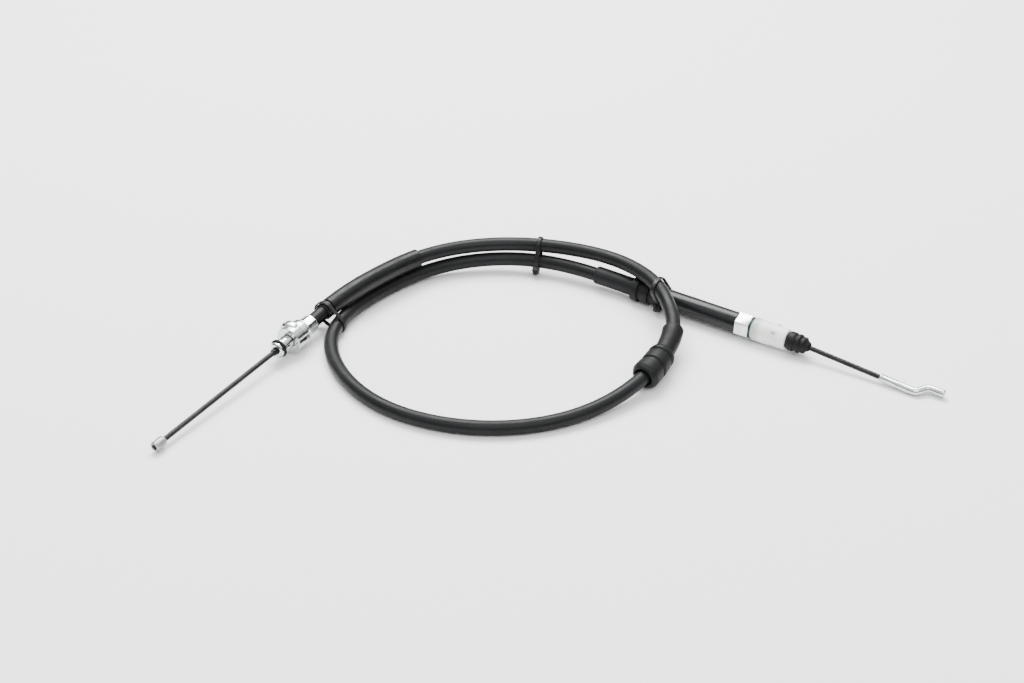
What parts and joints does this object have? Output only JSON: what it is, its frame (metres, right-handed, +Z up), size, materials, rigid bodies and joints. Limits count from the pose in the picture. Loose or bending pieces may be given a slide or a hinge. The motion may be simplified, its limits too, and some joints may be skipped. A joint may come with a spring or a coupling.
{
  "type": "parking brake cable",
  "caption": "Looped sheathed control cable with a round nipple and stop flange at one end and a guide tube, clip, boot and cranked hook at the other.",
  "frame": {"origin": "under the centre of the bounding box, on the surface the cable lies on", "axes": "+X from the lever end towards the brake end along the longest extent, +Z up from the surface the cable lies on"},
  "size_m": [0.5106, 0.2376, 0.0297],
  "materials": {
    "jacket": "satin",
    "steel_wrap": "drawn",
    "liner": "smooth",
    "coated_cable": "satin coating over steel strand",
    "zinc": "bright zinc plate",
    "die_cast": "die cast, dull",
    "rubber": "moulded",
    "sleeve": "slightly scuffed",
    "tube": "glossy coating",
    "seal": "smooth",
    "clip": "milky and slightly see-through",
    "tie": "moulded"
  },
  "bodies": {
    "casing_assembly": {"lever_end_bush": "tube", "lever_end_body": "zinc", "lever_end_seal_ring": "rubber", "stop_flange_collar": "zinc", "collar_lock_ring": "zinc", "casing_jacket": "jacket", "casing_wire_wrap": "steel_wrap", "casing_liner": "liner", "inner_cable": "coated_cable", "sleeve_end_ring": "rubber", "protective_sleeve": "sleeve", "front_grommet": "rubber", "rear_grommet": "rubber", "guide_tube": "tube", "hex_crimp_ferrule": "zinc", "ferrule_seal": "seal", "snap_clip": "clip", "brake_end_boot": "rubber", "cable_tie_back": "tie", "cable_tie_left": "tie", "cable_tie_right": "tie"},
    "lever_core": {"cable_nipple": "die_cast", "inner_cable_lever_end": "coated_cable"},
    "brake_core": {"inner_cable_brake_end": "coated_cable", "brake_hook": "zinc"}
  },
  "joints": [
    {"name": "lever_pull", "type": "slide", "parent": "casing_assembly", "child": "lever_core", "axis": [-0.5368, -0.8426, -0.0445], "range_m": [0, 0.03]},
    {"name": "brake_pull", "type": "slide", "parent": "casing_assembly", "child": "brake_core", "axis": [-0.8216, 0.5647, 0.0785], "range_m": [0, 0.03]}
  ],
  "couplings": [
    {"joint": "brake_pull", "follows": "lever_pull", "ratio": 1}
  ]
}
